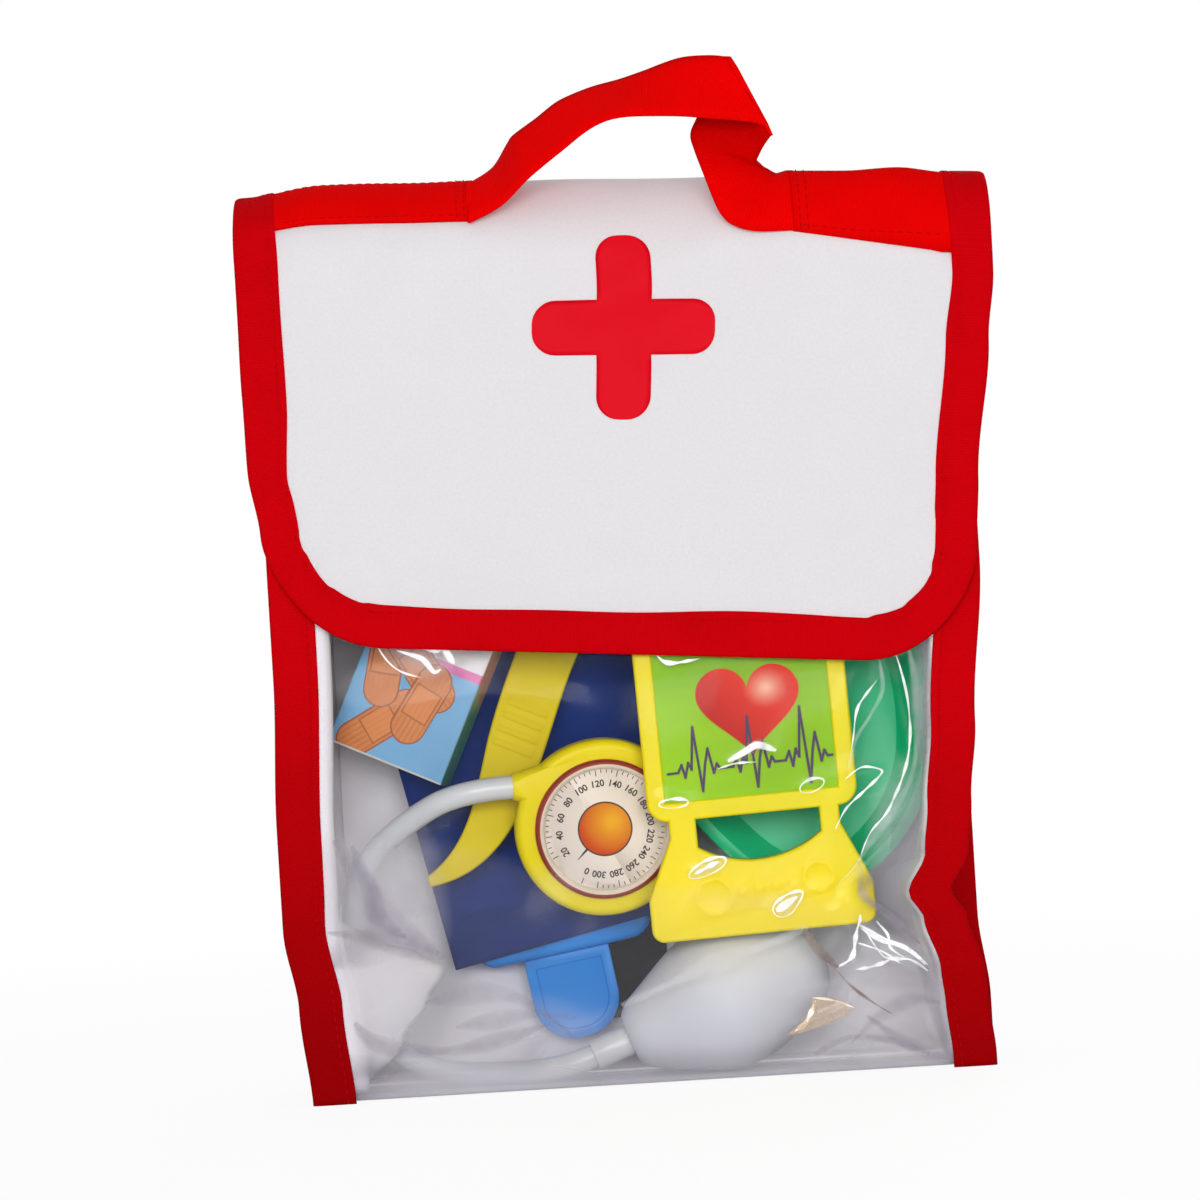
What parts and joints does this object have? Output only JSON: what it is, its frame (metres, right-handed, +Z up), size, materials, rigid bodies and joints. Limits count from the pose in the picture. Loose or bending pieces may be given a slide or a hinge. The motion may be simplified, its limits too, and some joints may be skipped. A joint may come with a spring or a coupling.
{
  "type": "toy doctor case",
  "caption": "Soft toy doctor case with a clear front, white flap with a red plus sign, red bindings and webbing handle, packed with toy instruments.",
  "frame": {"origin": "on the floor under the middle of the whole outline", "axes": "+Z up towards the handle, the clear front faces -Y, +X to the right seen from the front"},
  "size_m": [0.2618, 0.0916, 0.361],
  "materials": {
    "white_fabric": "coated white fabric, fine weave",
    "red_tape": "ribbed binding tape",
    "clear_vinyl": "clear soft vinyl, wavy gloss",
    "closure_tape": "hook and loop pile",
    "sign_print": "printed red",
    "red_webbing": "ribbed webbing, stitched",
    "yellow_plastic": "moulded, satin gloss",
    "tweezers_plastic": "moulded, satin gloss",
    "brick_red_plastic": "moulded, gloss",
    "dial_print": "printed dial",
    "milky_tube": "translucent soft tube",
    "white_plastic": "moulded, satin",
    "white_rubber": "soft blow-moulded bulb",
    "screen_print": "printed screen",
    "green_plastic": "moulded, gloss",
    "blue_plastic": "moulded, gloss",
    "navy_cloth": "woven nylon",
    "black_tape": "woven tape",
    "printed_carton": "printed board"
  },
  "bodies": {
    "pouch": {"back_panel": "white_fabric", "back_binding_left": "red_tape", "back_binding_right": "red_tape", "side_gusset_left": "white_fabric", "side_gusset_right": "white_fabric", "window_panel": "clear_vinyl", "window_top_binding": "red_tape", "front_binding_left": "red_tape", "front_binding_right": "red_tape", "loop_tape": "closure_tape", "gauge_body": "yellow_plastic", "gauge_ring": "brick_red_plastic", "gauge_dial": "dial_print", "pressure_hose": "milky_tube", "bulb_collar": "white_plastic", "squeeze_bulb": "white_rubber", "tweezers_back_arm": "tweezers_plastic", "hammer_head": "blue_plastic", "hammer_handle": "blue_plastic", "arm_cuff": "navy_cloth", "cuff_tape": "black_tape"},
    "flap": {"flap_panel": "white_fabric", "flap_binding": "red_tape", "plus_print": "sign_print", "strap_end_left": "red_webbing", "strap_end_right": "red_webbing", "hook_tape": "closure_tape"},
    "handle": {"handle_loop": "red_webbing"},
    "monitor": {"monitor_stand": "yellow_plastic", "monitor_screen": "screen_print"},
    "carton": {"bandage_box": "printed_carton"},
    "dish": {"kidney_dish": "green_plastic"},
    "tweezers_arm": {"tweezers_front_arm": "tweezers_plastic"}
  },
  "joints": [
    {"name": "flap_hinge", "type": "hinge", "parent": "pouch", "child": "flap", "pos_m": [0, 0.04586, 0.28615], "axis": [-1, 0, 0], "range_deg": [0, 180]},
    {"name": "handle_swing", "type": "hinge", "parent": "flap", "child": "handle", "pos_m": [0, -0.0121, 0.32208], "axis": [1, 0, 0], "range_deg": [-85, 85], "stiffness_Nm_per_rad": 0.06, "springref_deg": -1.72},
    {"name": "monitor_lift", "type": "slide", "parent": "pouch", "child": "monitor", "axis": [0, 0, 1], "range_m": [0, 0.08]},
    {"name": "carton_lift", "type": "slide", "parent": "pouch", "child": "carton", "axis": [0, 0, 1], "range_m": [0, 0.075]},
    {"name": "dish_lift", "type": "slide", "parent": "pouch", "child": "dish", "axis": [0, 0, 1], "range_m": [0, 0.06]},
    {"name": "tweezers_squeeze", "type": "hinge", "parent": "pouch", "child": "tweezers_arm", "pos_m": [-0.0187, 0.02166, 0.17294], "axis": [0.9063, 0, -0.4226], "range_deg": [0, 5], "stiffness_Nm_per_rad": 0.15, "springref_deg": -1.15}
  ]
}
